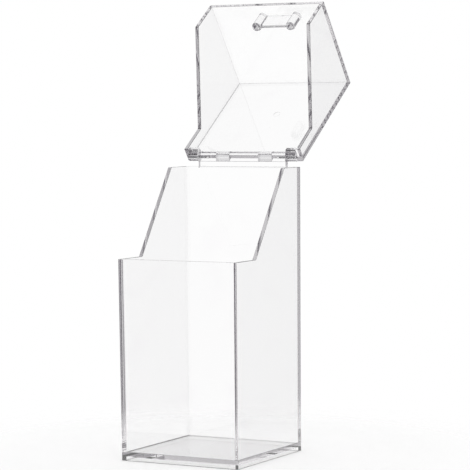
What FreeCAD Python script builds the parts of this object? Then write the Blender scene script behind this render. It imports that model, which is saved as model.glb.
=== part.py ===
"""Clear moulded brush holder: a tall open tub with a slanted mouth and a hood lid hinged at the back.

Units are millimetres. X runs across the front, Y from front to back and Z up. The origin is the
centre of the tub's underside. The lid is drawn shut, as the tub's missing upper corner, and its
placement then swings it back about the hinge pins, to where its stops hold it open.
"""
import FreeCAD
import Part
import os
import Sketcher

doc = FreeCAD.newDocument("BrushHolder")
sheet = doc.addObject("Spreadsheet::Sheet", "Sizes")

SIZES = {
    # tub
    "outer_width": 90.0,
    "outer_depth": 90.0,
    "back_height": 192.5,
    "front_height": 134.0,
    "front_shelf": 26.7,  # level part of the side rims, from the front face back
    "back_shelf": 23.3,  # level part of the side rims, from the back face forward
    "draft_angle": 0.24,  # lean of every wall, inwards to the foot
    "wall": 2.7,
    "floor_thickness": 3.0,
    "foot_recess": 2.5,  # the floor's underside above what the tub stands on
    "corner_radius": 0.8,
    "inner_radius": 0.6,
    "rim_radius": 0.35,
    "crease_radius": 1.5,  # where the level rims turn into the slanted ones
    # lid
    "lid_rise": 10.6,  # top of the shut lid above the back rim
    "seam_gap": 0.4,
    "open_angle": 144.0,
    # hinge
    "axis_behind": 1.2,  # pin axis behind the back face
    "axis_below": 4.2,  # pin axis below the top of the shut lid
    "knuckle_radius": 2.8,  # of the lid's lugs about the pins
    "knuckle_gap": 0.4,  # side gap between the rail and each lug
    "lug_length": 7.4,
    "strip_rise": 0.4,  # lower end of the lid's strips and lugs above its side rims
    "strip_round": 1.0,
    # rail that carries the pins, on a web behind the back rim; its faces are placed from the axis
    "rail_inset": 11.1,  # ends of the rail inside the tub's side faces
    "rail_ahead": 2.5,
    "rail_behind": 2.8,
    "rail_above": 3.9,
    "rail_below": 3.0,
    "rail_round": 2.0,  # rounding of its top edges
    "rail_under_round": 0.4,
    "web_thickness": 3.4,
    "web_sunk": 0.7,  # depth of the web's front inside the back wall
    "web_drop": 1.0,  # the web's underside below the back rim
    "swing_gap": 0.4,  # between the rail and the path of the lid's notched top
    # two ribs behind the rail, which stop the lid
    "stop_width": 10.4,
    "stop_offset": 11.3,  # inner side of each stop from the middle
    "stop_crest": 1.0,  # length of the stop's flat top behind the axis
    "stop_reach": 2.4,  # length of the seat that the lid's top lands on
    "stop_gap": 0.3,
    # pins
    "pin_diameter": 2.0,
    "pin_length": 13.0,
    "pin_inset": 0.2,  # outer end of the pin inside the lug's face
    "pin_chamfer": 0.3,
    "pin_running_gap": 0.06,
    "pin_press_gap": 0.01,
    "bore_spare": 2.2,  # empty bore beyond the pin's inner end
    # grip
    "grip_spacing": 26.6,  # between the axes of the two posts
    "grip_height": 18.6,  # posts above the lid's front rim
    "grip_reach": 13.2,  # how far the grip stands out of the lid
    "post_diameter": 6.8,
    "post_chamfer": 0.7,  # of the posts' outer ends
    "plate_thickness": 2.3,
    "plate_setback": 1.1,  # the plate's outer edge inside the posts' ends
    "peg_diameter": 5.0,
    "peg_gap": 0.05,
    # shallow round mark left by the moulding gate on the lid's top
    "gate_diameter": 5.0,
    "gate_depth": 0.25,
    "gate_forward": 6.2,
    "gate_aside": 3.0,
}

# Places worked out from the sizes. Each has a name of its own in the sheet.
PLACES = {
    "front_face": "-outer_depth / 2",
    "back_face": "outer_depth / 2",
    "side_face": "outer_width / 2",
    "lid_top": "back_height + lid_rise",
    "slant_foot": "front_face + front_shelf",
    "slant_head": "back_face - back_shelf",
    "floor_top": "foot_recess + floor_thickness",
    "foot_inset": "back_height * tan(draft_angle)",
    "floor_inset": "wall + (back_height - floor_top) * tan(draft_angle)",
    "inner_front": "front_face + wall",
    "inner_back": "back_face - wall",
    "inner_side": "side_face - wall",
    "axis_y": "back_face + axis_behind",
    "axis_z": "lid_top - axis_below",
    "web_front": "back_face - web_sunk",
    "web_back": "web_front + web_thickness",
    "web_bottom": "back_height - web_drop",
    "rail_front": "axis_y - rail_ahead",
    "rail_back": "axis_y + rail_behind",
    "rail_top": "axis_z + rail_above",
    "rail_bottom": "axis_z - rail_below",
    "rail_end": "side_face - rail_inset",
    "lug_inner": "rail_end + knuckle_gap",
    "lug_outer": "lug_inner + lug_length",
    "lid_rim_back": "back_height + seam_gap",
    "lid_rim_front": "front_height + seam_gap",
    "strip_foot": "lid_rim_back + strip_rise",
    "panel_under": "lid_top - wall",
    # the notch's edge clears the rail's rounded back corner on its way round
    "rail_radius": "sqrt((rail_behind - rail_round) ^ 2 + (rail_above - rail_round) ^ 2) + rail_round",
    "notch_rise": "panel_under - axis_z",
    "notch_face": "axis_y - sqrt((rail_radius + swing_gap) ^ 2 - notch_rise ^ 2)",
    "pin_outer": "lug_outer - pin_inset",
    "pin_inner": "pin_outer - pin_length",
    "bore_inner": "pin_inner - bore_spare",
    "grip_z": "lid_rim_front + grip_height",
    # the seat of the stops, on the line where the notch's edge comes to rest
    "seat_ahead": "notch_face + stop_gap - axis_y",
    "seat_near": "notch_rise",
    "seat_far": "seat_near + stop_reach",
    "seat_near_y": "axis_y + cos(open_angle) * seat_ahead + sin(open_angle) * seat_near",
    "seat_near_z": "axis_z - sin(open_angle) * seat_ahead + cos(open_angle) * seat_near",
    "seat_far_y": "axis_y + cos(open_angle) * seat_ahead + sin(open_angle) * seat_far",
    "seat_far_z": "axis_z - sin(open_angle) * seat_ahead + cos(open_angle) * seat_far",
}

# How far off an edge may lie and still be picked: on a place, on a drafted wall, beside a crease.
SLACK = 0.02
MARGIN = 0.1
CREASED = 0.5


def fill_sheet():
    rows = list(SIZES.items()) + [(name, "=" + formula) for name, formula in PLACES.items()]
    for row, (name, value) in enumerate(rows, start=1):
        sheet.set(f"A{row}", name)
        sheet.set(f"B{row}", str(value))
        sheet.setAlias(f"B{row}", name)
    doc.recompute()


def size(name):
    return float(getattr(sheet, name))


# --- sketches and features -------------------------------------------------------------------


def new_body(label):
    body = doc.addObject("PartDesign::Body", label)
    body.Label = label
    return body


def plane(body, role):
    return next(f for f in body.Origin.OriginFeatures if f.Role == role)


def new_sketch(body, name, role, offset="0"):
    """A sketch on one of the body's own origin planes, moved along its normal by a formula."""
    sketch = body.newObject("Sketcher::SketchObject", name)
    sketch.AttachmentSupport = (plane(body, role), [""])
    sketch.MapMode = "FlatFace"
    sketch.setExpression("AttachmentOffset.Base.z", offset)
    return sketch


def pin_point(sketch, geometry, point, x, y):
    """Holds a point of the sketch at two formulas."""
    for kind, formula in (("DistanceX", x), ("DistanceY", y)):
        value = float(sketch.evalExpression(formula))
        if value == 0:
            axis = -2 if kind == "DistanceX" else -1
            sketch.addConstraint(Sketcher.Constraint("PointOnObject", geometry, point, axis))
            continue
        index = sketch.addConstraint(Sketcher.Constraint(kind, -1, 1, geometry, point, value))
        sketch.setExpression(f"Constraints[{index}]", formula)


def draw_outline(sketch, corners):
    """A closed outline of straight lines through corners that are pairs of formulas."""
    first = sketch.GeometryCount
    count = len(corners)
    points = [
        FreeCAD.Vector(*(float(sketch.evalExpression(formula)) for formula in corner), 0)
        for corner in corners
    ]
    for i in range(count):
        sketch.addGeometry(Part.LineSegment(points[i], points[(i + 1) % count]))
    for i in range(count):
        end = first + (i + 1) % count
        sketch.addConstraint(Sketcher.Constraint("Coincident", first + i, 2, end, 1))
    for i, (x, y) in enumerate(corners):
        pin_point(sketch, first + i, 1, x, y)


def draw_rectangle(sketch, left, right, bottom, top):
    draw_outline(sketch, [(left, bottom), (right, bottom), (right, top), (left, top)])


def draw_circle(sketch, x, y, radius):
    centre = FreeCAD.Vector(*(float(sketch.evalExpression(formula)) for formula in (x, y)), 0)
    value = float(sketch.evalExpression(radius))
    circle = sketch.addGeometry(Part.Circle(centre, FreeCAD.Vector(0, 0, 1), value))
    pin_point(sketch, circle, 3, x, y)
    index = sketch.addConstraint(Sketcher.Constraint("Radius", circle, value))
    sketch.setExpression(f"Constraints[{index}]", radius)


def extrude(kind, sketch, name, length, both_ways=False, backwards=False, taper="0"):
    """A pad or a pocket of a sketch, checked to have changed the body's volume the right way."""
    body = sketch.getParentGeoFeatureGroup()
    before = body.Shape.Volume if not body.Shape.isNull() else 0.0
    feature = body.newObject(f"PartDesign::{kind}", name)
    feature.Profile = sketch
    feature.Type = "Length"
    feature.SideType = "Symmetric" if both_ways else "One side"
    feature.Reversed = backwards
    feature.setExpression("Length", length)
    feature.setExpression("TaperAngle", taper)
    sketch.Visibility = False
    doc.recompute()
    change = body.Shape.Volume - before
    if (change <= 0) if kind == "Pad" else (change >= 0):
        raise RuntimeError(f"{body.Label}: {name} changed the volume by {change:.3f}")
    return feature


def mirror(body, name, originals):
    """The same features on the other side of the middle."""
    feature = body.newObject("PartDesign::Mirrored", name)
    feature.Originals = originals
    feature.MirrorPlane = (plane(body, "YZ_Plane"), [""])
    body.Tip = feature
    doc.recompute()
    return feature


def dress_edges(kind, body, name, amount, wanted):
    """A fillet or a chamfer of the tip's edges whose two ends and middle satisfy wanted."""
    tip = body.Tip
    names = []
    for number, edge in enumerate(tip.Shape.Edges, start=1):
        middle = edge.valueAt((edge.FirstParameter + edge.LastParameter) / 2)
        points = [vertex.Point for vertex in edge.Vertexes] + [middle]
        if all(wanted(p) for p in points):
            names.append(f"Edge{number}")
    if not names:
        raise RuntimeError(f"{body.Label}: {name} found no edges")
    feature = body.newObject(f"PartDesign::{kind}", name)
    feature.Base = (tip, names)
    feature.setExpression("Radius" if kind == "Fillet" else "Size", amount)
    doc.recompute()
    if feature.Shape.isNull() or not feature.Shape.isValid():
        raise RuntimeError(f"{body.Label}: {name} wasn't built")


def round_edges(body, name, radius, wanted):
    dress_edges("Fillet", body, name, radius, wanted)


def bevel_edges(body, name, width, wanted):
    dress_edges("Chamfer", body, name, width, wanted)


def near(a, b, slack=SLACK):
    return abs(a - b) < slack


# --- tub -------------------------------------------------------------------------------------


def rim_height(y):
    """Height of the tub's mouth at a distance from front to back."""
    foot, head = size("slant_foot"), size("slant_head")
    share = min(max((y - foot) / (head - foot), 0.0), 1.0)
    return size("front_height") + share * (size("back_height") - size("front_height"))


def is_on_rim(point, raised=0.0):
    """Whether a point lies on the tub's mouth, away from the creases, or that far above it."""
    foot, head, blend = size("slant_foot"), size("slant_head"), size("crease_radius")
    creased = near(point.y, foot, blend) or near(point.y, head, blend)
    return near(point.z - raised, rim_height(point.y), CREASED if creased else SLACK)


def make_tub():
    body = new_body("tub")

    foot = new_sketch(body, "tub_foot_outline", "XY_Plane")
    draw_rectangle(
        foot,
        "Sizes.foot_inset - Sizes.side_face",
        "Sizes.side_face - Sizes.foot_inset",
        "Sizes.front_face + Sizes.foot_inset",
        "Sizes.back_face - Sizes.foot_inset",
    )
    extrude("Pad", foot, "tub_block", "Sizes.back_height", taper="Sizes.draft_angle")
    side, back = size("inner_side"), size("inner_back")
    round_edges(
        body, "tub_corners", "Sizes.corner_radius", lambda p: abs(p.x) > side and abs(p.y) > back
    )

    inside = new_sketch(body, "tub_inside_outline", "XY_Plane", "Sizes.floor_top")
    draw_rectangle(
        inside,
        "Sizes.floor_inset - Sizes.side_face",
        "Sizes.side_face - Sizes.floor_inset",
        "Sizes.front_face + Sizes.floor_inset",
        "Sizes.back_face - Sizes.floor_inset",
    )
    extrude(
        "Pocket", inside, "tub_inside", "Sizes.back_height - Sizes.floor_top",
        backwards=True, taper="Sizes.draft_angle",
    )
    floor = size("floor_top")
    inset = size("foot_inset") + MARGIN
    round_edges(
        body, "tub_inside_corners", "Sizes.inner_radius",
        lambda p: near(p.z, floor) or p.z > floor and side - inset < abs(p.x) < side + MARGIN
        and back - inset < abs(p.y) < back + MARGIN,
    )

    mouth = new_sketch(body, "tub_mouth_outline", "YZ_Plane")
    draw_outline(mouth, [
        ("Sizes.front_face - Sizes.wall", "Sizes.front_height"),
        ("Sizes.slant_foot", "Sizes.front_height"),
        ("Sizes.slant_head", "Sizes.back_height"),
        ("Sizes.slant_head", "Sizes.back_height + Sizes.wall"),
        ("Sizes.front_face - Sizes.wall", "Sizes.back_height + Sizes.wall"),
    ])
    extrude("Pocket", mouth, "tub_mouth", "Sizes.outer_width + Sizes.wall", both_ways=True)

    round_edges(
        body, "tub_creases", "Sizes.crease_radius",
        lambda p: near(p.y, size("slant_foot")) and near(p.z, size("front_height"))
        or near(p.y, size("slant_head")) and near(p.z, size("back_height")),
    )

    round_edges(body, "tub_rim", "Sizes.rim_radius", is_on_rim)

    recess = new_sketch(body, "tub_recess_outline", "XY_Plane")
    draw_rectangle(
        recess,
        "Sizes.foot_inset + Sizes.wall - Sizes.side_face",
        "Sizes.side_face - Sizes.foot_inset - Sizes.wall",
        "Sizes.front_face + Sizes.foot_inset + Sizes.wall",
        "Sizes.back_face - Sizes.foot_inset - Sizes.wall",
    )
    extrude("Pocket", recess, "tub_recess", "Sizes.foot_recess", backwards=True)

    web = new_sketch(body, "rail_web_outline", "YZ_Plane")
    draw_rectangle(
        web, "Sizes.web_front", "Sizes.web_back", "Sizes.web_bottom", "Sizes.axis_z"
    )
    extrude("Pad", web, "rail_web", "Sizes.rail_end * 2", both_ways=True)
    rail = new_sketch(body, "rail_outline", "YZ_Plane")
    draw_rectangle(
        rail, "Sizes.rail_front", "Sizes.rail_back", "Sizes.rail_bottom", "Sizes.rail_top"
    )
    extrude("Pad", rail, "rail", "Sizes.rail_end * 2", both_ways=True)
    sides = size("rail_front"), size("rail_back")
    for name, radius, level in (
        ("rail_upper_edges", "Sizes.rail_round", size("rail_top")),
        ("rail_lower_edges", "Sizes.rail_under_round", size("rail_bottom")),
    ):
        round_edges(
            body, name, radius,
            lambda p: near(p.z, level) and (near(p.y, sides[0]) or near(p.y, sides[1])),
        )

    stop = new_sketch(body, "stop_outline", "YZ_Plane", "Sizes.stop_offset")
    draw_outline(stop, [
        ("Sizes.axis_y", "Sizes.axis_z"),
        ("Sizes.rail_back", "Sizes.rail_bottom"),
        ("Sizes.seat_far_y", "Sizes.seat_far_z"),
        ("Sizes.seat_near_y", "Sizes.seat_near_z"),
        ("Sizes.axis_y + Sizes.stop_crest", "Sizes.rail_top"),
        ("Sizes.axis_y", "Sizes.rail_top"),
    ])
    first_stop = extrude("Pad", stop, "stop", "Sizes.stop_width")
    mirror(body, "second_stop", [first_stop])

    bore = new_sketch(body, "rail_bore_outline", "YZ_Plane", "Sizes.bore_inner")
    draw_circle(
        bore, "Sizes.axis_y", "Sizes.axis_z", "Sizes.pin_diameter / 2 + Sizes.pin_press_gap"
    )
    first_bore = extrude(
        "Pocket", bore, "rail_bore", "Sizes.rail_end - Sizes.bore_inner + Sizes.wall", backwards=True
    )
    mirror(body, "second_rail_bore", [first_bore])
    return body


# --- lid -------------------------------------------------------------------------------------


def make_lid():
    body = new_body("lid")

    hood = new_sketch(body, "lid_side_outline", "YZ_Plane")
    draw_outline(hood, [
        ("Sizes.back_face", "Sizes.lid_top"),
        ("Sizes.front_face", "Sizes.lid_top"),
        ("Sizes.front_face", "Sizes.lid_rim_front"),
        ("Sizes.slant_foot", "Sizes.lid_rim_front"),
        ("Sizes.slant_head", "Sizes.lid_rim_back"),
        ("Sizes.back_face", "Sizes.lid_rim_back"),
    ])
    extrude("Pad", hood, "lid_block", "Sizes.outer_width", both_ways=True)
    side, front, top = size("side_face"), size("front_face"), size("lid_top")
    round_edges(
        body, "lid_corners", "Sizes.corner_radius",
        lambda p: near(abs(p.x), side) and (near(p.y, front) or near(p.z, top))
        or near(p.y, front) and near(p.z, top),
    )

    gap = size("seam_gap")
    round_edges(
        body, "lid_creases", "Sizes.crease_radius",
        lambda p: near(p.y, size("slant_foot")) and near(p.z, size("lid_rim_front"))
        or near(p.y, size("slant_head")) and near(p.z, size("lid_rim_back")),
    )

    inside = new_sketch(body, "lid_inside_outline", "YZ_Plane")
    draw_rectangle(
        inside, "Sizes.inner_front", "Sizes.back_face + Sizes.wall",
        "Sizes.lid_rim_front - Sizes.wall", "Sizes.panel_under",
    )
    extrude("Pocket", inside, "lid_inside", "Sizes.inner_side * 2", both_ways=True)
    inner_side, inner_front, under = size("inner_side"), size("inner_front"), size("panel_under")
    round_edges(
        body, "lid_inside_corners", "Sizes.inner_radius",
        lambda p: near(abs(p.x), inner_side) and (near(p.y, inner_front) or near(p.z, under))
        or near(p.y, inner_front) and near(p.z, under),
    )

    round_edges(body, "lid_rim", "Sizes.rim_radius", lambda p: is_on_rim(p, gap))

    notch = new_sketch(body, "lid_notch_outline", "YZ_Plane")
    draw_rectangle(
        notch, "Sizes.notch_face", "Sizes.back_face + Sizes.wall",
        "Sizes.panel_under - Sizes.wall", "Sizes.lid_top + Sizes.wall",
    )
    extrude("Pocket", notch, "lid_notch", "Sizes.lug_inner * 2", both_ways=True)

    strip = new_sketch(body, "lid_strip_outline", "YZ_Plane", "Sizes.lug_inner")
    draw_rectangle(
        strip, "Sizes.inner_back", "Sizes.back_face", "Sizes.strip_foot", "Sizes.panel_under"
    )
    first_strip = extrude("Pad", strip, "lid_strip", "Sizes.inner_side - Sizes.lug_inner")
    arm = new_sketch(body, "lug_arm_outline", "YZ_Plane", "Sizes.lug_inner")
    draw_outline(arm, [
        ("Sizes.inner_back", "Sizes.strip_foot"),
        ("Sizes.back_face", "Sizes.strip_foot"),
        ("Sizes.axis_y + Sizes.knuckle_radius * cos(45)",
         "Sizes.axis_z - Sizes.knuckle_radius * sin(45)"),
        ("Sizes.axis_y", "Sizes.axis_z"),
        ("Sizes.axis_y", "Sizes.axis_z + Sizes.knuckle_radius"),
        ("Sizes.inner_back", "Sizes.axis_z + Sizes.knuckle_radius"),
    ])
    first_arm = extrude("Pad", arm, "lug_arm", "Sizes.lug_length")
    knuckle = new_sketch(body, "lug_knuckle_outline", "YZ_Plane", "Sizes.lug_inner")
    draw_circle(knuckle, "Sizes.axis_y", "Sizes.axis_z", "Sizes.knuckle_radius")
    first_knuckle = extrude("Pad", knuckle, "lug_knuckle", "Sizes.lug_length")
    bore = new_sketch(body, "lug_bore_outline", "YZ_Plane", "Sizes.rail_end")
    draw_circle(
        bore, "Sizes.axis_y", "Sizes.axis_z", "Sizes.pin_diameter / 2 + Sizes.pin_running_gap"
    )
    first_bore = extrude(
        "Pocket", bore, "lug_bore", "Sizes.lug_length + Sizes.knuckle_gap * 2", backwards=True
    )
    mirror(body, "second_lug", [first_strip, first_arm, first_knuckle, first_bore])
    round_edges(
        body, "strip_feet", "Sizes.strip_round",
        lambda p: near(p.y, size("inner_back")) and near(p.z, size("strip_foot")),
    )

    holes = new_sketch(body, "peg_holes_outline", "XZ_Plane", "-Sizes.front_face")
    for side_sign in ("-", ""):
        draw_circle(
            holes, side_sign + "Sizes.grip_spacing / 2", "Sizes.grip_z",
            "Sizes.peg_diameter / 2 + Sizes.peg_gap",
        )
    extrude("Pocket", holes, "peg_holes", "Sizes.wall * 1.5")

    gate = new_sketch(body, "gate_outline", "XY_Plane", "Sizes.lid_top")
    draw_circle(gate, "Sizes.gate_aside", "-Sizes.gate_forward", "Sizes.gate_diameter / 2")
    extrude("Pocket", gate, "gate_dimple", "Sizes.gate_depth")
    return body


def make_grip():
    body = new_body("grip")

    posts = new_sketch(body, "grip_posts_outline", "XZ_Plane", "-Sizes.front_face")
    for side_sign in ("-", ""):
        draw_circle(
            posts, side_sign + "Sizes.grip_spacing / 2", "Sizes.grip_z", "Sizes.post_diameter / 2"
        )
    plate_outline = new_sketch(body, "grip_plate_outline", "XZ_Plane", "-Sizes.front_face")
    draw_rectangle(
        plate_outline, "-Sizes.grip_spacing / 2", "Sizes.grip_spacing / 2",
        "Sizes.grip_z - Sizes.plate_thickness / 2", "Sizes.grip_z + Sizes.plate_thickness / 2",
    )
    extrude("Pad", plate_outline, "grip_plate", "Sizes.grip_reach - Sizes.plate_setback")
    extrude("Pad", posts, "grip_posts", "Sizes.grip_reach")
    end = size("front_face") - size("grip_reach")
    bevel_edges(body, "grip_ends", "Sizes.post_chamfer", lambda p: near(p.y, end))

    pegs = new_sketch(body, "grip_pegs_outline", "XZ_Plane", "-Sizes.front_face")
    for side_sign in ("-", ""):
        draw_circle(
            pegs, side_sign + "Sizes.grip_spacing / 2", "Sizes.grip_z", "Sizes.peg_diameter / 2"
        )
    extrude("Pad", pegs, "grip_pegs", "Sizes.wall", backwards=True)
    return body


def make_pin(label, start):
    body = new_body(label)
    outline = new_sketch(body, label + "_outline", "YZ_Plane", start)
    draw_circle(outline, "Sizes.axis_y", "Sizes.axis_z", "Sizes.pin_diameter / 2")
    extrude("Pad", outline, label + "_rod", "Sizes.pin_length")
    box = body.Shape.BoundBox
    bevel_edges(
        body, label + "_ends", "Sizes.pin_chamfer",
        lambda p: near(p.x, box.XMin) or near(p.x, box.XMax),
    )
    return body


def swing_open(body):
    axis = FreeCAD.Vector(0, size("axis_y"), size("axis_z"))
    turn = FreeCAD.Rotation(FreeCAD.Vector(1, 0, 0), -size("open_angle"))
    body.Placement = FreeCAD.Placement(FreeCAD.Vector(0, 0, 0), turn, axis)


def export(body):
    if body.Shape.isNull() or not body.Shape.isValid() or len(body.Shape.Solids) != 1:
        raise RuntimeError(f"{body.Label}: not one valid solid")
    body.Shape.exportStep(os.path.join("parts", body.Label + ".step"))


def main():
    fill_sheet()
    lid, grip = make_lid(), make_grip()
    swing_open(lid)
    swing_open(grip)
    bodies = [
        make_tub(),
        lid,
        grip,
        make_pin("hinge_pin_left", "-Sizes.pin_outer"),
        make_pin("hinge_pin_right", "Sizes.pin_inner"),
    ]
    doc.recompute()
    broken = [o.Label for o in doc.Objects if "Invalid" in o.State or "Error" in o.State]
    if broken:
        raise RuntimeError("not built: " + ", ".join(broken))
    os.makedirs("parts", exist_ok=True)
    for body in bodies:
        export(body)


main()
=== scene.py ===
"""Clear brush holder with a hinged hood lid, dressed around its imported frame."""
import math

import bmesh
import bpy
from mathutils import Matrix, Vector


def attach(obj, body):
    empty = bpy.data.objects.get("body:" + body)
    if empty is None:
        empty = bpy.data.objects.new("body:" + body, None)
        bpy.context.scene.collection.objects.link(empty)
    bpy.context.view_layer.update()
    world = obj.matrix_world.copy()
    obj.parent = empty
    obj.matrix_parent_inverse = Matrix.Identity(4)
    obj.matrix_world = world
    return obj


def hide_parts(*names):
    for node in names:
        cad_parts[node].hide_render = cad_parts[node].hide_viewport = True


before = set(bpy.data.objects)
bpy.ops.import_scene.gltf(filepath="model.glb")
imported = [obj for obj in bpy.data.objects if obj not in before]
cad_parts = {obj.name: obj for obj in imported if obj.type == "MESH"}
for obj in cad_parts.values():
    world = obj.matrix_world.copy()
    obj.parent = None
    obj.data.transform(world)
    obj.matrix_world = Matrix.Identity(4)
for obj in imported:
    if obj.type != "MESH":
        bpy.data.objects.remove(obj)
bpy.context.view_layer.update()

# --- the camera ------------------------------------------------------------------------------

CAMERA_AZIMUTH = math.radians(29.33)
CAMERA_ELEVATION = math.radians(3.53)
CAMERA_ROLL = math.radians(-0.62)
CAMERA_DISTANCE = 1.4999
AIM_SIDEWAYS = 0.01664
AIM_HEIGHT = 0.14808
FOCAL_PIXELS = 2247.98
FRAME_PIXELS = 470
SENSOR = 36.0
CLIP_RANGE = (0.05, 20.0)


def make_camera():
    """Looks at the holder from its right front, a little from above, with no shift."""
    back = Vector((
        math.sin(CAMERA_AZIMUTH) * math.cos(CAMERA_ELEVATION),
        -math.cos(CAMERA_AZIMUTH) * math.cos(CAMERA_ELEVATION),
        math.sin(CAMERA_ELEVATION),
    ))
    right = (-back).cross(Vector((0, 0, 1))).normalized()
    up = right.cross(-back)
    turned_right = right * math.cos(CAMERA_ROLL) + up * math.sin(CAMERA_ROLL)
    turned_up = up * math.cos(CAMERA_ROLL) - right * math.sin(CAMERA_ROLL)
    aim = Vector((0, 0, AIM_HEIGHT)) + right * AIM_SIDEWAYS
    data = bpy.data.cameras.new("camera")
    data.sensor_width = SENSOR
    data.lens = FOCAL_PIXELS * SENSOR / FRAME_PIXELS
    data.clip_start, data.clip_end = CLIP_RANGE
    camera = bpy.data.objects.new("camera", data)
    turn = Matrix((turned_right, turned_up, back)).transposed().to_4x4()
    camera.matrix_world = Matrix.Translation(aim + back * CAMERA_DISTANCE) @ turn
    bpy.context.collection.objects.link(camera)
    bpy.context.scene.camera = camera


# --- materials -------------------------------------------------------------------------------

HAIRLINE_TURN, HAIRLINE_STRETCH = (0.5, 0.35, 0.8), (1.0, 0.04, 1.0)
HAIRLINE_FROM, HAIRLINE_TO = 0.66, 0.76  # noise between these rises into a hairline
SMUDGE_FROM, SMUDGE_TO = 0.52, 0.78
PLASTIC_IOR = 1.49
PLASTIC_MARKS = {
    "Hairline Spacing": 700.0, "Hairline Depth": 0.15, "Ripple Size": 45.0,
    "Ripple Depth": 1.0, "Smudge Size": 35.0,
}
PLASTIC_CLEAN, PLASTIC_SMUDGED = (1, 1, 1, 1), (0.985, 0.98, 0.985, 1)
PLASTIC_SMUDGE_DULLS, PLASTIC_HAIRLINE_DULLS = 0.012, 0.05
PLASTIC_RELIEF = {"Strength": 0.3, "Distance": 0.00003}
PLASTIC_DEPTHS = {"Color": (0.52, 0.48, 0.52, 1), "Density": 4.0}  # the tint of a thick length
STEEL_MARKS = {
    "Hairline Spacing": 3000.0, "Hairline Depth": 0.6, "Ripple Size": 300.0,
    "Ripple Depth": 0.2, "Smudge Size": 500.0,
}
STEEL_BRIGHT, STEEL_FILMED, STEEL_FILM = (0.34, 0.34, 0.35, 1), (0.18, 0.18, 0.19, 1), 0.7
STEEL_ROUGHNESS, STEEL_LINES_DULL, STEEL_FILM_DULLS = 0.2, 0.2, 0.15
STEEL_RELIEF = {"Strength": 0.4, "Distance": 0.00002}
DRAWN_STRETCH, DRAWN_SPACING = (0.05, 1.0, 1.0), 9000.0


def new_material(name):
    """A material with its nodes and links at hand."""
    material = bpy.data.materials.new(name)
    material.use_nodes = True
    return material, material.node_tree.nodes, material.node_tree.links


def add_node(tree, kind, sockets=None, **settings):
    """A node with its settings, and a value or a link for each socket that is named."""
    node = tree.nodes.new(kind)
    for key, value in settings.items():
        setattr(node, key, value)
    for key, value in (sockets or {}).items():
        if isinstance(value, bpy.types.NodeSocket):
            tree.links.new(value, node.inputs[key])
        else:
            node.inputs[key].default_value = value
    return node


def calculate(tree, operation, *terms):
    """The result of one sum on numbers or sockets."""
    return add_node(tree, "ShaderNodeMath", dict(enumerate(terms)), operation=operation).outputs[0]


def handling_marks():
    """Fine hairlines, a faint ripple and smudges of a part that has been handled and wiped."""
    group = bpy.data.node_groups.new("handling_marks", "ShaderNodeTree")
    for name, default in (
        ("Hairline Spacing", 900.0), ("Hairline Depth", 0.3), ("Ripple Size", 60.0),
        ("Ripple Depth", 1.0), ("Smudge Size", 40.0),
    ):
        socket = group.interface.new_socket(name, in_out="INPUT", socket_type="NodeSocketFloat")
        socket.default_value = default
    group.interface.new_socket("Hairlines", in_out="OUTPUT", socket_type="NodeSocketFloat")
    group.interface.new_socket("Smudges", in_out="OUTPUT", socket_type="NodeSocketFloat")
    group.interface.new_socket("Height", in_out="OUTPUT", socket_type="NodeSocketFloat")
    given = group.nodes.new("NodeGroupInput").outputs
    place = add_node(group, "ShaderNodeTexCoord").outputs["Object"]

    turned = add_node(
        group, "ShaderNodeMapping",
        {"Vector": place, "Rotation": HAIRLINE_TURN, "Scale": HAIRLINE_STRETCH},
    )
    scores = add_node(
        group, "ShaderNodeTexNoise",
        {"Vector": turned.outputs[0], "Scale": given["Hairline Spacing"], "Detail": 1.0},
    )
    hairlines = add_node(
        group, "ShaderNodeMapRange",
        {"Value": scores.outputs["Fac"], "From Min": HAIRLINE_FROM, "From Max": HAIRLINE_TO},
        interpolation_type="SMOOTHSTEP",
    ).outputs[0]
    ripple = add_node(
        group, "ShaderNodeTexNoise",
        {"Vector": place, "Scale": given["Ripple Size"], "Detail": 1.5},
    )
    patches = add_node(
        group, "ShaderNodeTexNoise",
        {"Vector": place, "Scale": given["Smudge Size"], "Detail": 4.0, "Distortion": 0.6},
    )
    smudges = add_node(
        group, "ShaderNodeMapRange",
        {"Value": patches.outputs["Fac"], "From Min": SMUDGE_FROM, "From Max": SMUDGE_TO},
        interpolation_type="SMOOTHSTEP",
    ).outputs[0]
    cut = calculate(group, "MULTIPLY", hairlines, given["Hairline Depth"])
    swell = calculate(group, "MULTIPLY", ripple.outputs["Fac"], given["Ripple Depth"])
    height = calculate(group, "SUBTRACT", swell, cut)
    sockets = {"Hairlines": hairlines, "Smudges": smudges, "Height": height}
    add_node(group, "NodeGroupOutput", sockets)
    return group


def place_marks(tree, marks, sizes):
    """The handling marks in one material, at its own sizes."""
    return add_node(tree, "ShaderNodeGroup", sizes, node_tree=marks).outputs


def clear_plastic(marks):
    """Polished clear moulding: hardly tinted, rippled a little and dulled where it is handled."""
    material, nodes, links = new_material("clear_plastic")
    tree = material.node_tree
    shader = nodes["Principled BSDF"]
    shader.inputs["IOR"].default_value = PLASTIC_IOR
    shader.inputs["Transmission Weight"].default_value = 1.0
    worn = place_marks(tree, marks, PLASTIC_MARKS)
    dull = calculate(tree, "MULTIPLY", worn["Smudges"], PLASTIC_SMUDGE_DULLS)
    rough = calculate(tree, "MULTIPLY_ADD", worn["Hairlines"], PLASTIC_HAIRLINE_DULLS, dull)
    links.new(rough, shader.inputs["Roughness"])
    tint = add_node(
        tree, "ShaderNodeMix",
        {"Factor": worn["Smudges"], "A": PLASTIC_CLEAN, "B": PLASTIC_SMUDGED},
        data_type="RGBA",
    )
    links.new(tint.outputs["Result"], shader.inputs["Base Color"])
    relief = add_node(tree, "ShaderNodeBump", {**PLASTIC_RELIEF, "Height": worn["Height"]})
    links.new(relief.outputs[0], shader.inputs["Normal"])
    absorb = add_node(tree, "ShaderNodeVolumeAbsorption", PLASTIC_DEPTHS)
    links.new(absorb.outputs["Volume"], nodes["Material Output"].inputs["Volume"])
    return material


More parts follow.
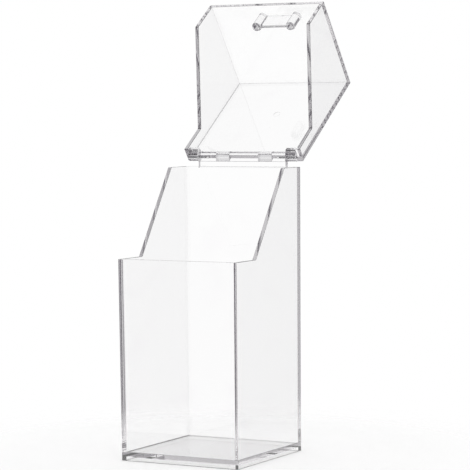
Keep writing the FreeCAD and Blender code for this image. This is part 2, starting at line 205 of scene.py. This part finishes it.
def pin_steel(marks):
    """Drawn bright wire: fine lines along the pin, with a grey film in patches."""
    material, nodes, links = new_material("pin_steel")
    tree = material.node_tree
    shader = nodes["Principled BSDF"]
    shader.inputs["Metallic"].default_value = 1.0
    worn = place_marks(tree, marks, STEEL_MARKS)
    place = add_node(tree, "ShaderNodeTexCoord").outputs["Object"]
    along = add_node(tree, "ShaderNodeMapping", {"Vector": place, "Scale": DRAWN_STRETCH})
    drawn = add_node(
        tree, "ShaderNodeTexNoise",
        {"Vector": along.outputs[0], "Scale": DRAWN_SPACING, "Detail": 3.0},
    ).outputs["Fac"]
    film = calculate(tree, "MULTIPLY", worn["Smudges"], STEEL_FILM)
    tone = add_node(
        tree, "ShaderNodeMix", {"Factor": film, "A": STEEL_BRIGHT, "B": STEEL_FILMED},
        data_type="RGBA",
    )
    links.new(tone.outputs["Result"], shader.inputs["Base Color"])
    lined = calculate(tree, "MULTIPLY_ADD", drawn, STEEL_LINES_DULL, STEEL_ROUGHNESS)
    rough = calculate(tree, "MULTIPLY_ADD", worn["Smudges"], STEEL_FILM_DULLS, lined)
    links.new(rough, shader.inputs["Roughness"])
    lines = calculate(tree, "ADD", drawn, worn["Height"])
    relief = add_node(tree, "ShaderNodeBump", {**STEEL_RELIEF, "Height": lines})
    links.new(relief.outputs[0], shader.inputs["Normal"])
    return material


# --- pieces ----------------------------------------------------------------------------------

SHARP_ANGLE = math.radians(32)  # an edge that turns more than this stays sharp
SAME_PLANE = math.cos(math.radians(0.06))
FLAT_SHARE = 2.5  # a patch this many times as large as any beside it is a flat wall
DOUBLES, SPECKS = 1e-6, 1e-7  # corners this close are merged, and edges this short dissolved


def faces_across(face):
    """The faces beside a face, over edges that aren't sharp."""
    smooth_edges = [edge for edge in face.edges if edge.smooth]
    return [other for edge in smooth_edges for other in edge.link_faces if other is not face]


def flat_patches(tool):
    """Gives each face the number of its flat patch, and each patch its area and normal."""
    patch_of, areas, normals = {}, [], []
    for start in tool.faces:
        if start in patch_of:
            continue
        number = len(areas)
        patch_of[start] = number
        todo, area = [start], 0.0
        while todo:
            face = todo.pop()
            area += face.calc_area()
            for other in faces_across(face):
                if other not in patch_of and other.normal.dot(start.normal) > SAME_PLANE:
                    patch_of[other] = number
                    todo.append(other)
        areas.append(area)
        normals.append(start.normal.copy())
    return patch_of, areas, normals


def fan(face, corner):
    """The faces round a corner that are reached from a face without crossing a sharp edge."""
    found, todo = {face}, [face]
    while todo:
        for edge in todo.pop().edges:
            if edge.smooth and corner in edge.verts:
                fresh = [other for other in edge.link_faces if other not in found]
                found.update(fresh)
                todo.extend(fresh)
    return found


def shade_like_moulding(mesh):
    """Flat walls keep one true normal up to their edges, and only the roundings between them turn."""
    tool = bmesh.new()
    tool.from_mesh(mesh)
    bmesh.ops.remove_doubles(tool, verts=tool.verts, dist=DOUBLES)
    bmesh.ops.dissolve_degenerate(tool, edges=tool.edges, dist=SPECKS)
    tool.normal_update()
    for edge in tool.edges:
        edge.smooth = edge.is_manifold and edge.calc_face_angle(math.pi) < SHARP_ANGLE
    for face in tool.faces:
        face.smooth = True
    tool.faces.index_update()
    patch_of, areas, normals = flat_patches(tool)
    beside = [0.0] * len(areas)
    for face in tool.faces:
        own = patch_of[face]
        for other in faces_across(face):
            if patch_of[other] != own:
                beside[own] = max(beside[own], areas[patch_of[other]])
    flat = [area > FLAT_SHARE * near for area, near in zip(areas, beside)]
    turned = []
    for face in tool.faces:
        for loop in face.loops:
            own = patch_of[face]
            if not flat[own]:
                round_here = fan(face, loop.vert)
                walls = {patch_of[other] for other in round_here if flat[patch_of[other]]}
                if walls:
                    own = max(walls, key=areas.__getitem__)
                else:
                    total = Vector()
                    for other in round_here:
                        total += other.normal * other.calc_area()
                    turned.append(total.normalized())
                    continue
            turned.append(normals[own])
    tool.to_mesh(mesh)
    tool.free()
    mesh.normals_split_custom_set(turned)


def smooth_copy(node, name, body, material):
    """The node's own solid with its doubled corners merged and its roundings shaded smooth."""
    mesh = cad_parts[node].data.copy()
    mesh.name = name
    shade_like_moulding(mesh)
    mesh.materials.clear()
    mesh.materials.append(material)
    piece = bpy.data.objects.new(name, mesh)
    bpy.context.collection.objects.link(piece)
    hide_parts(node)
    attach(piece, body)


# --- floor, backdrop and light ---------------------------------------------------------------

LIGHT_TURN = math.radians(45)  # where the middle of a soft light stands, repeated each quarter
LIGHT_MEAN, LIGHT_SWING = 0.42, 0.4  # their middle level, and how far lights and gaps leave it
SIDE_TURN, SIDE_FROM, SIDE_DEPTH = math.radians(30), 0.4, 0.4  # the room's dim side, at the back
GAP_BOUNCES = 3.0  # reflections after which the four lights are seen in full
GAP_FROM, GAP_TO, GAP_DEPTH = (0.16, 0.34), (0.62, 0.85), 0.85  # under the light overhead
GAP_COLOUR = (0.012, 0.0, 0.024, 1)  # what the gaps between the lights show
FLOOR_REACH, FLOOR_SIDES = 0.45, 96
FLOOR_FADE = (0.06, 0.26)  # distances between which the floor runs into the backdrop
FLOOR_COLOUR, FLOOR_ROUGHNESS, FLOOR_GLOW = 0.85, 0.7, 0.15
MOST_BOUNCES = 64  # enough for light that is caught between the clear walls
GLOSSY_FILTER = 0.2  # low, so that light passes through the clear walls and leaves a soft shadow


def looked_at(tree):
    """1 for what is seen straight, mirrored or through clear walls, 0 for light on dull surfaces."""
    path = add_node(tree, "ShaderNodeLightPath").outputs
    mirrored = calculate(tree, "MAXIMUM", path["Is Camera Ray"], path["Is Glossy Ray"])
    clear = calculate(tree, "MAXIMUM", mirrored, path["Is Transmission Ray"])
    undiffused = calculate(tree, "LESS_THAN", path["Diffuse Depth"], 0.5)
    return calculate(tree, "MULTIPLY", clear, undiffused)


def make_world():
    """A plain white world for dull surfaces and for what is seen straight.

    Through the clear walls and in their reflections there is a dim band between the backdrop and
    the light overhead. A reflection also finds one side of the room dimmer, and the more often it
    has bounced, the more it sees four soft lights with gaps between them.
    """
    world = bpy.data.worlds.new("studio")
    bpy.context.scene.world = world
    world.use_nodes = True
    tree = world.node_tree
    path = add_node(tree, "ShaderNodeLightPath").outputs
    place = add_node(tree, "ShaderNodeTexCoord").outputs["Generated"]
    axes = add_node(tree, "ShaderNodeSeparateXYZ", {"Vector": place}).outputs
    turn = calculate(tree, "ARCTAN2", axes["X"], axes["Y"])
    wave = calculate(tree, "COSINE", calculate(tree, "MULTIPLY_ADD", turn, 4.0, -4.0 * LIGHT_TURN))
    lights = calculate(tree, "MULTIPLY_ADD", wave, LIGHT_SWING, LIGHT_MEAN)
    bounced = add_node(
        tree, "ShaderNodeMapRange",
        {"Value": path["Glossy Depth"], "From Min": 0.0, "From Max": GAP_BOUNCES},
    ).outputs[0]
    round_about = add_node(
        tree, "ShaderNodeMix", {"Factor": bounced, "A": 1.0, "B": lights}, data_type="FLOAT"
    ).outputs["Result"]
    facing = calculate(tree, "COSINE", calculate(tree, "SUBTRACT", turn, SIDE_TURN))
    side = add_node(
        tree, "ShaderNodeMapRange", {"Value": facing, "From Min": SIDE_FROM},
        interpolation_type="SMOOTHSTEP",
    ).outputs[0]
    reflected = calculate(tree, "MINIMUM", path["Glossy Depth"], 1.0)
    dimmed = calculate(tree, "MULTIPLY", side, reflected)
    beside = calculate(tree, "MULTIPLY_ADD", dimmed, -SIDE_DEPTH, 1.0)
    edges = []
    for low, high in (GAP_FROM, GAP_TO):
        edges.append(add_node(
            tree, "ShaderNodeMapRange", {"Value": axes["Z"], "From Min": low, "From Max": high},
            interpolation_type="SMOOTHSTEP",
        ).outputs[0])
    gap = calculate(tree, "SUBTRACT", edges[0], edges[1])
    left = calculate(tree, "MULTIPLY_ADD", gap, -GAP_DEPTH, 1.0)
    studio = calculate(tree, "MULTIPLY", calculate(tree, "MULTIPLY", round_about, beside), left)
    seen = add_node(
        tree, "ShaderNodeMix",
        {"Factor": path["Is Camera Ray"], "A": studio, "B": 1.0}, data_type="FLOAT",
    ).outputs["Result"]
    level = add_node(
        tree, "ShaderNodeMix",
        {"Factor": looked_at(tree), "A": 1.0, "B": seen}, data_type="FLOAT",
    ).outputs["Result"]
    background = tree.nodes["Background"]
    background.inputs["Strength"].default_value = 1.0
    shade = add_node(
        tree, "ShaderNodeMix",
        {"Factor": level, "A": GAP_COLOUR, "B": (1, 1, 1, 1)}, data_type="RGBA",
    ).outputs["Result"]
    tree.links.new(shade, background.inputs["Color"])


def make_floor():
    """A plain pale floor that keeps the shadow, glows faintly and fades into the backdrop."""
    mesh = bpy.data.meshes.new("floor")
    tool = bmesh.new()
    bmesh.ops.create_circle(tool, cap_ends=True, radius=FLOOR_REACH, segments=FLOOR_SIDES)
    tool.to_mesh(mesh)
    tool.free()
    floor = bpy.data.objects.new("floor", mesh)
    bpy.context.collection.objects.link(floor)
    material, nodes, links = new_material("floor_white")
    shader = nodes["Principled BSDF"]
    shader.inputs["Base Color"].default_value = (FLOOR_COLOUR, FLOOR_COLOUR, FLOOR_COLOUR, 1)
    shader.inputs["Roughness"].default_value = FLOOR_ROUGHNESS
    shader.inputs["Specular IOR Level"].default_value = 0.0
    shader.inputs["Emission Color"].default_value = (1, 1, 1, 1)
    tree = material.node_tree
    seen = looked_at(tree)
    links.new(calculate(tree, "MULTIPLY", seen, FLOOR_GLOW), shader.inputs["Emission Strength"])
    place = add_node(tree, "ShaderNodeTexCoord").outputs["Object"]
    away = add_node(tree, "ShaderNodeVectorMath", {0: place}, operation="LENGTH").outputs["Value"]
    fade = add_node(
        tree, "ShaderNodeMapRange",
        {"Value": away, "From Min": FLOOR_FADE[0], "From Max": FLOOR_FADE[1]},
        interpolation_type="SMOOTHSTEP",
    ).outputs[0]
    gone = add_node(tree, "ShaderNodeBsdfTransparent").outputs[0]
    mix = add_node(
        tree, "ShaderNodeMixShader",
        {0: calculate(tree, "MULTIPLY", fade, seen), 1: shader.outputs[0], 2: gone},
    )
    links.new(mix.outputs[0], nodes["Material Output"].inputs["Surface"])
    mesh.materials.append(material)


bpy.context.scene.view_settings.view_transform = "Standard"
light_paths = bpy.context.scene.cycles
light_paths.max_bounces = MOST_BOUNCES
light_paths.transmission_bounces = MOST_BOUNCES
light_paths.glossy_bounces = MOST_BOUNCES
light_paths.blur_glossy = GLOSSY_FILTER
make_camera()
make_world()
make_floor()
marks = handling_marks()
plastic = clear_plastic(marks)
steel = pin_steel(marks)
smooth_copy("tub", "tub_shell", "box", plastic)
smooth_copy("lid", "lid_hood", "cover", plastic)
smooth_copy("grip", "lid_grip", "cover", plastic)
smooth_copy("hinge_pin_left", "left_pin", "box", steel)
smooth_copy("hinge_pin_right", "right_pin", "box", steel)
